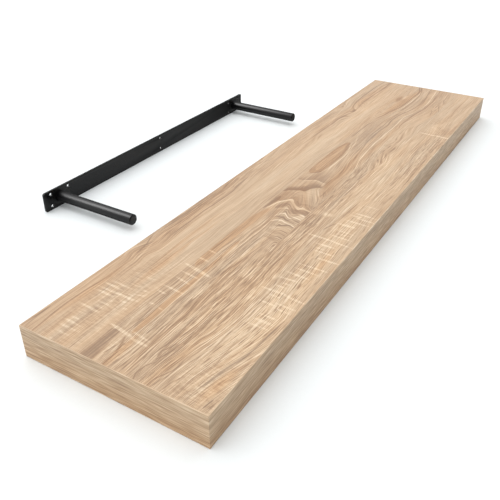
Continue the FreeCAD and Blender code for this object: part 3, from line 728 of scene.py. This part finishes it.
# The figure's own shapes. A first value of 0 runs along the board, 1 across it. Then lighter,
# warmer, width of the edge, and points: the place that way, across it and the half width.
SHAPES = (
    # from the left end to the curl: dark stub, shadow, orange strips, the seam, its tip
    (0, -0.33, 0.1, 1.2, ((-10, 91.8, 8.6), (20, 91.2, 7.8), (36, 90, 6.4), (46, 89.7, 6),
        (47.5, 89.7, 0))),
    (0, -0.12, 0.0, 1.0, ((50, 86, 0), (53, 86, 2.8), (80, 86, 2.6), (100, 85.4, 2.2),
        (180, 87.5, 4), (186, 88, 0))),
    (0, -0.17, 1.3, 1.2, ((50, 107, 0), (60, 107, 3), (90, 106.5, 4.4), (130, 106.5, 4.6),
        (165, 106.5, 3.4), (240, 105, 3), (262, 104.5, 0))),
    (0, -0.12, 0.9, 2.0, ((184, 90, 0), (196, 90, 5.6), (260, 90, 6.2), (300, 90.5, 6.4),
        (334, 92, 5), (356, 96, 0))),
    (0, -0.22, 0.0, 0.6, ((-10, 83.8, 0.7), (200, 84.6, 0.5), (352, 85.6, 0.5))),
    (0, -0.50, 0.1, 0.8, ((349, 86.6, 0), (354, 87, 1.4), (362, 88.2, 2.4), (370, 89, 3),
        (377, 89.6, 3.6), (386, 90.6, 3), (396, 90, 0))),
    (0, 0.18, 0.0, 1.2, ((350, 89.5, 0), (358, 91.6, 1.4), (368, 93.4, 1.7), (377, 95.6, 1.8),
        (382, 99, 0))),
    # the eye: an orange-brown lens with a ragged near end and a darker rim
    (0, -0.24, 0.6, 1.0, ((486, 92, 0), (492, 93, 6), (500, 95, 10), (560, 96, 11.6),
        (594, 95.2, 10.4), (618, 94.8, 6), (634, 95.3, 0))),
    (0, 0.17, 0.0, 2.5, ((500, 95, 0), (512, 95, 6), (560, 95.6, 8.6), (594, 95, 7.4),
        (612, 94.8, 3), (622, 95, 0))),
    # cream and brown lines of the curl as they fall
    (1, 0.46, 0.0, 1.2, ((112, 322, 0), (114, 326, 1.8), (121, 332.6, 2.4), (126, 333, 2.2),
        (130.6, 331, 1.8), (135.8, 330, 1.5), (141, 329.5, 1.5), (146, 326.5, 1.8),
        (148.5, 326, 1.2))),
    (1, -0.44, 0.0, 1.4, ((121, 317, 0), (128, 319.5, 1.8), (133, 322, 2.8), (139, 326, 2.2),
        (143, 328, 0))),
    (1, 0.44, 0.0, 1.2, ((108, 334, 0), (111, 342, 1.5), (115, 348.6, 2.2), (119.5, 352, 2.4),
        (123, 349.6, 2), (129, 344.6, 1.6), (133.5, 343, 1.5), (138, 340.8, 1.3), (142, 341, 0))),
    (1, -0.38, 0.0, 1.4, ((112, 336, 0), (117, 341, 2.6), (122, 341, 3), (128, 338, 2.6),
        (135, 335.6, 2.2), (147, 334, 0))),
    (1, 0.34, 0.0, 1.2, ((103, 352, 0), (106, 359, 1.6), (110, 364, 1.9), (116, 367.4, 1.6),
        (119.5, 361, 1.4), (124, 355, 1.2), (129, 351.6, 1.3), (133.6, 349.6, 1.8), (138, 351, 5),
        (142, 353.5, 7.6), (145.6, 353, 7), (148, 352, 4))),
    (1, -0.26, 0.1, 2.0, ((99, 362, 0), (103, 368, 8), (107, 374, 8), (111, 376.5, 6),
        (116, 373, 5), (120, 366.5, 6), (125, 363, 7), (130, 362, 7.5), (135, 364, 7.5),
        (140, 367, 5), (148, 367, 4))),
    (1, 0.40, 0.0, 1.6, ((90, 353, 0), (92, 360, 3.4), (94.5, 370, 4.4), (97, 378.5, 3.4),
        (101, 384, 3.4), (105, 389, 4.4), (108.5, 391.6, 4.4), (112, 389.5, 4.2), (116, 384.5, 3.6),
        (120, 380.5, 3.6), (125, 376, 4), (130, 374.5, 4.6), (134, 377, 4.6), (139, 376, 2.8),
        (146, 374.5, 1.6), (149, 374, 1))),
    (1, 0.18, 0.0, 3.0, ((119, 296, 0), (126, 296, 3), (138, 295, 3.4), (148, 294, 3))),
    (1, 0.18, 0.0, 3.0, ((119, 309, 0), (125, 310.6, 6), (133, 312.6, 7), (141, 315, 7),
        (148, 315, 5))),
    (1, -0.16, 0.0, 2.0, ((122, 286, 0), (132, 286, 3), (141, 284, 4), (148, 282, 4))),
    (1, -0.14, 0.1, 3.0, ((116, 396, 0), (118, 392, 3), (126, 386, 4), (134, 390, 4), (142, 386, 6),
        (148, 385, 6))),
    # streaks inside the eye and the cream line along its far side
    (0, -0.20, 0.0, 0.8, ((508, 98, 0), (530, 99, 1), (566, 99.6, 1), (596, 97, 0))),
    (0, -0.16, 0.0, 0.8, ((500, 93, 0), (528, 92, 0.8), (570, 91.4, 0.8), (590, 92, 0))),
    (0, 0.34, 0.0, 1.0, ((490, 104, 0), (520, 108.4, 1), (560, 110, 1.2), (596, 107.4, 1.2),
        (624, 101.4, 1), (640, 98, 0))),
    (0, -0.34, 0.2, 1.0, ((480, 90, 0), (487, 93, 1.2), (492, 98, 1.6), (498, 102, 1),
        (504, 104, 0))),
    # beside the curl
    (1, 0.30, 0.0, 1.4, ((93, 457, 0), (97, 459.6, 1.4), (103, 462, 1.8), (108, 467, 1.8),
        (114, 467.4, 1.6), (119, 465.6, 1.5), (124, 464.6, 1.2), (127, 464, 0))),
    # the cross mark at the far end
    (1, 0.40, 0.0, 1.6, ((183, 742, 0), (190, 742, 2.6), (204, 740.6, 2.2), (214, 741.6, 3),
        (224, 740, 2.6), (236, 740, 3))),
)
for turned, lighter, warmer, edge, path in SHAPES:
    one_way, other_way = (across, along) if turned else (along, across)
    inside = ribbon(tree, one_way, other_way, path, edge=edge)
    oak = print_over(tree, oak, inside, lighter, warmer)

# Waves of the figure: sharp on their near side, fading to the far one, and gone in front of
# 130 mm. Lighter, warmer, and points: place across the board, place along, width of the fade.
in_figure = add(tree, "MapRange", across, 126.0, 130.0, 1.0, 0.0)
in_figure = add(tree, "Math", in_middle, in_figure, operation="MULTIPLY")
LEDGES = (
    (-0.80, 0.3, ((84, 409, 20), (88, 413, 19), (92, 418, 17), (97, 421, 18), (102, 423.5, 20),
        (106, 426, 18), (108.5, 426, 34), (112, 426, 40), (114.5, 429.5, 36), (117, 438, 26),
        (121, 443.5, 18), (125, 447.5, 11), (129, 448, 8))),
    (-0.28, 0.0, ((86, 458, 10), (93, 458, 20), (100, 463, 40), (108, 468, 45), (114, 469, 45),
        (124, 466, 40), (130, 466, 20))),
    (-0.22, 0.1, ((97, 382, 14), (101, 387, 14), (105, 392.5, 16), (108.5, 396, 18), (112, 394, 22),
        (116, 388, 26), (120, 384, 28), (125, 380, 28), (130, 379, 26))),
)
for lighter, warmer, path in LEDGES:
    wave = ledge(tree, across, along, path)
    inside = add(tree, "Math", wave, in_figure, operation="MULTIPLY")
    oak = print_over(tree, oak, inside, lighter, warmer)

# Browner, creamier or more orange wood, from half a stave down to a fleck. Centre, half size,
# lighter, warmer, turn in degrees.
PATCHES = (
    ((320, 9), (170, 17), -0.28, 0.3, 0),
    ((690, 10), (60, 8), -0.14, 0.2, 0),
    ((80, 20), (70, 9), -0.06, 0.6, 0),
    ((28, 41), (56, 10), 0.06, 0.0, 0),
    ((165, 56), (60, 8), -0.10, 0.7, 0),
    ((95, 33), (26, 5), -0.16, -0.4, 0),
    ((90, 66), (90, 18), 0.03, -0.1, 0),
    ((420, 55), (330, 36), 0.16, 0.0, 0),
    ((640, 60), (180, 22), 0.16, 0.1, 0),
    ((850, 60), (190, 26), 0.18, 0.1, 0),
    ((800, 55), (30, 14), 0.14, 0.1, 0),
    ((870, 29), (130, 9), -0.10, 0.3, 0),
    ((150, 122), (210, 34), 0.12, 0.0, 0),
    ((25, 115), (40, 6), -0.10, 1.0, 0),
    ((400, 92), (34, 12), -0.22, 0.2, 10),
    ((425, 121), (30, 10), 0.26, 0.0, -18),
    ((370, 120), (90, 44), -0.08, 0.1, 0),
    ((450, 140), (50, 10), -0.14, 0.5, 0),
    ((500, 133), (60, 9), -0.10, 0.5, 0),
    ((640, 141), (150, 8), -0.12, 0.7, 0),
    ((690, 107), (130, 22), -0.18, -0.2, 0),
    ((880, 102), (110, 12), -0.15, 1.0, 4),
    ((900, 89), (28, 6.5), -0.38, 0.8, 0),
    ((915, 97), (18, 5), 0.34, 0.0, 0),
    ((900, 150), (140, 16), -0.14, 0.3, 0),
    ((160, 163), (200, 20), -0.02, 0.5, 0),
    ((36, 222), (34, 8), -0.06, 0.9, 8),
    ((110, 205), (140, 40), 0.32, 0.0, 0),
    ((265, 216), (60, 6), -0.10, 0.6, 0),
    ((380, 156), (16, 4), 0.26, 0.0, 0),
    ((380, 170), (7, 10), 0.50, 0.0, 0),
    ((165, 179), (7, 6), 0.36, 0.0, 0),
    ((214, 181), (9, 6), 0.40, 0.0, 0),
    ((270, 212), (190, 36), 0.24, 0.0, 0),
    ((470, 195), (180, 44), 0.23, 0.1, 0),
    ((600, 180), (150, 16), 0.12, 0.1, 0),
    ((767, 220), (30, 18), -0.22, 0.3, 0),
    ((780, 197), (40, 20), 0.22, 0.0, 0),
    ((970, 205), (60, 20), 0.16, 0.0, 0),
    ((870, 190), (80, 20), 0.08, 0.0, 0),
)
for centre, size, lighter, warmer, turn in PATCHES:
    oak = print_over(tree, oak, patch(tree, flat, centre, size, turn), lighter, warmer)

# Saw marks: pale bars across the grain, broken by its fibres. Place along the board, from and
# to across it, half width, lean in degrees, strength.
MARKS = (
    (3, 38, 46, 2, 0, 0.6), (15, 34, 61, 2, 0, 0.8), (24.5, 31, 62, 2.2, 0, 1),
    (32, 30, 58, 2.4, 3, 1.1), (39, 33, 47, 2.2, 0, 1), (60, 22, 58, 2.3, 4, 1.3),
    (67, 37, 57, 2.2, 3, 0.9), (73.7, 34, 58, 2, 3, 0.9), (80.5, 33, 60, 1.8, 2, 0.6),
    (88, 21, 51, 2.4, 2, 1.4), (94.6, 20, 82, 2.4, 0, 1.3), (102.7, 21, 51, 2.3, 3, 1.3),
    (109.5, 25, 63, 2, 3, 1), (117, 44, 62, 1.7, 3, 0.6), (128, 40, 54, 1.7, 0, 0.6),
    (137, 36, 46, 1.7, 0, 0.7), (136, 51, 69, 1.8, 3, 0.8), (86, 60, 72, 1.8, 0, 0.8),
    (100, 59, 68, 1.8, 0, 0.8), (105, 66, 80, 2, -20, 0.9), (78, 70, 80, 2, -14, 0.7),
    (114, 68, 78, 1.8, -12, 0.7), (93, 62, 74, 1.8, 8, 0.8), (118, 58, 66, 1.8, 0, 0.7),
    (48.6, 78, 113, 2.6, 9, 2.0), (43.5, 108, 136, 2.4, 3, 1.3), (51.5, 102, 132, 1.9, 9, 1),
    (100, 89, 97, 1.8, -8, 1), (97.5, 102, 111, 1.6, 8, 0.8), (122, 82, 97, 2, 6, 1.1),
    (133, 81, 112, 2.1, 6, 1.2), (152, 82, 110, 2, 12, 1), (165.4, 82, 111, 2.1, 8, 1.2),
    (178, 77, 120, 3.2, 12, 1.9), (200.6, 83, 100, 2.2, 8, 1.2), (220.6, 83, 97, 2, 10, 1.1),
    (126.5, 192, 226, 1.8, 0, 0.7), (136, 198, 224, 3, 2, 1), (145.6, 198, 223, 2, 2, 1),
    (161.5, 206, 230, 1.9, 4, 0.9), (165.8, 186, 212, 2, 3, 1), (169.8, 204, 232, 2, 2, 1.1),
    (181, 189, 209, 2, 2, 0.9), (189, 177, 213, 2.4, 0, 1.4), (186, 207, 235, 2.3, 5, 1.3),
    (200, 189, 204, 2, 0, 0.8), (207.6, 194, 207, 2, 0, 0.7), (217, 183, 210, 2, -4, 1),
    (229.5, 186, 219, 2.4, 4, 1.1), (242, 190, 224, 2, 2, 1), (253, 190, 233, 2.1, 0, 1.1),
    (275, 203, 236, 2.4, 0, 1.2), (289, 192, 225, 2, 2, 0.8), (296, 190, 208, 1.8, 4, 0.6),
    (305.6, 187, 218, 2.1, 0, 1.1), (320.6, 168, 212, 2.3, 2, 1.4), (318, 205, 234, 2, 4, 1),
    (333, 194, 228, 2, 3, 0.9), (341, 198, 224, 1.8, -6, 0.6), (348, 196, 226, 1.8, 4, 0.7),
    (365.5, 193, 219, 3.2, 0, 1.3), (379, 196, 234, 2.2, 2, 1.1), (391, 206, 235, 2.2, 4, 1.2),
    (396, 198, 220, 2, -4, 0.8), (403, 198, 234, 2.2, 3, 1.1), (430, 200, 228, 1.8, 0, 0.4),
)
back_marks_end, back_strength, other_strength, strongest = 77, 1.8, 2.5, 1.4
half_length = 0.56    # a little over half of each mark, because its ends fade
sawn = 0.0
for mark, first, last, width, lean, strength in MARKS:
    middle, reach = (first + last) / 2, (last - first) * half_length
    bar = patch(tree, flat, (mark, middle), (width, reach), lean)
    strength *= back_strength if first < back_marks_end else other_strength
    sawn = add(tree, "Math", bar, strength, sawn, operation="MULTIPLY_ADD")
sawn = add(tree, "Math", sawn, strongest, operation="MINIMUM")
between_fibres = add(tree, "MapRange", fibres, 0.3, 0.7, 0.12, 0.34)
tone, warmth = oak
tone = add(tree, "Math", sawn, between_fibres, tone, operation="MULTIPLY_ADD")

# The skins' cut edges behind show the fibreboard itself: plain brown, clouded every
# millimetre by its fibres, and duller than the film.
cut_edge = 0.06
behind = add(tree, "Math", across, cut_edge, operation="LESS_THAN")
fluff = add(tree, "TexNoise", place, Scale=900.0, Detail=3.0)
fibreboard = add(tree, "MixRGB", fluff, linear("#a0835f"), linear("#bfa37d"))
decor_colour = add(tree, "MixRGB", behind, oak_colour(tree, tone, warmth), fibreboard)
film = add(tree, "Math", behind, 0.3, add(tree, "MapRange", fibres, 0.3, 0.7, 0.58, 0.5),
           operation="MULTIPLY_ADD")
relief = add(tree, "Bump", 0.15, 0.0001, Height=fibres)
close(tree, Base_Color=decor_colour, Roughness=film, IOR=1.45, Normal=relief)
for node in ("top_panel", "bottom_panel"):
    dress(nodes[node], decor)

# ================================================================ board: edge bands
# Decor-printed edge banding 1 mm thick, hot-glued over the front and both ends. Its long
# corners are eased, and a lighter line is painted along them as a highlight.

# Printed banding: the skins' oak in a plainer cut of bands, streaks and short dashes of grain,
# under the same dull gloss; its colour is drawn a little warmer and darker towards the bottom.
# The dashes are drawn 1.2 mm wide, because real pores are too fine to show.
edging, tree = new_material("sonoma_oak_edge_banding")
place = add(tree, "TexCoord", out=3)
measured = add(tree, "Mapping", place, None, None, (in_mm, in_mm, in_mm))
split = add(tree, "SeparateXYZ", measured).node
run = add(tree, "Math", split.outputs[0], split.outputs[1], operation="ADD")
height = split.outputs[2]
bottom, top = in_mm * cad_low.z, in_mm * cad_high.z
ease_start, ease_end = top - 0.6, top - 0.1
lean_layer, grain_layer = 4.0, 2.2
upright = add(tree, "CombineXYZ", run, height, lean_layer)
leaning = swing(tree, height, oak_noise(tree, upright, (160, 30)), 5.0)
flow = add(tree, "CombineXYZ", run, leaning, grain_layer)
# The colour is drawn darker towards the bottom of the band.
tone = add(tree, "MapRange", height, bottom, top, 0.49, 0.59)
EDGE_GRAIN = (
    # length and width in millimetres, start, strength
    ((300, 9), (0, 0, 0), 0.6),
    ((120, 2.6), (7, 3, 1), 0.5),
    ((26, 1.2), (3, 9, 5), 1.8),
)
for size, start, strength in EDGE_GRAIN:
    tone = swing(tree, tone, oak_noise(tree, flow, size, start, detail=2.0), strength)
# The colour is drawn warmer towards the bottom, with a swing along the grain.
warmth = add(tree, "MapRange", leaning, -16.0, 8.0, 0.8, 0.25)
warmth = swing(tree, warmth, oak_noise(tree, flow, (200, 10), (5, 5, 5)), 0.5)
# A painted highlight: a lighter line along the eased top and bottom corners of the band.
from_middle = add(tree, "Math", height, operation="ABSOLUTE")
painted_arris_highlight = add(tree, "MapRange", from_middle, ease_start, ease_end, 0.0, 0.08)
tone = add(tree, "Math", tone, painted_arris_highlight, operation="ADD")
close(tree, Base_Color=oak_colour(tree, tone, warmth), Roughness=0.5, IOR=1.45)
for node in ("front_edge_band", "left_edge_band", "right_edge_band"):
    dress(nodes[node], edging)
